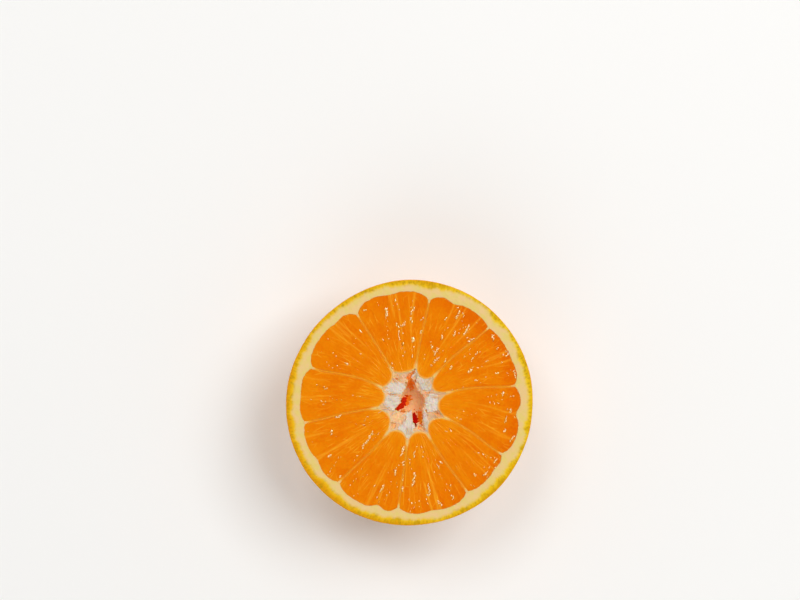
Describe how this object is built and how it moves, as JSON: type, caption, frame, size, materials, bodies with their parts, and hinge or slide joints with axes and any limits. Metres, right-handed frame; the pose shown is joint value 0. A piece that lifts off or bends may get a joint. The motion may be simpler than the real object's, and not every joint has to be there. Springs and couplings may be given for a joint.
{
  "type": "orange half",
  "caption": "Half of a sweet orange cut across its middle: rounded skin below, a flat cut face of juicy segments, pale pith and a hollow white core above.",
  "frame": {"origin": "middle of the base that the half rests on, under the stem dimple", "axes": "+Z up out of the cut face, +X to the right and +Y up as the cut face is seen from above"},
  "size_m": [0.0762, 0.0758, 0.036],
  "materials": {
    "peel": "waxy golden-orange skin with fine oil-gland pores",
    "pith": "matte, spongy cream-white pith",
    "pulp": "wet, translucent orange juice sacs",
    "membrane": "moist, thin pale orange walls"
  },
  "bodies": {
    "root": {"orange_half": "peel"}
  },
  "joints": []
}
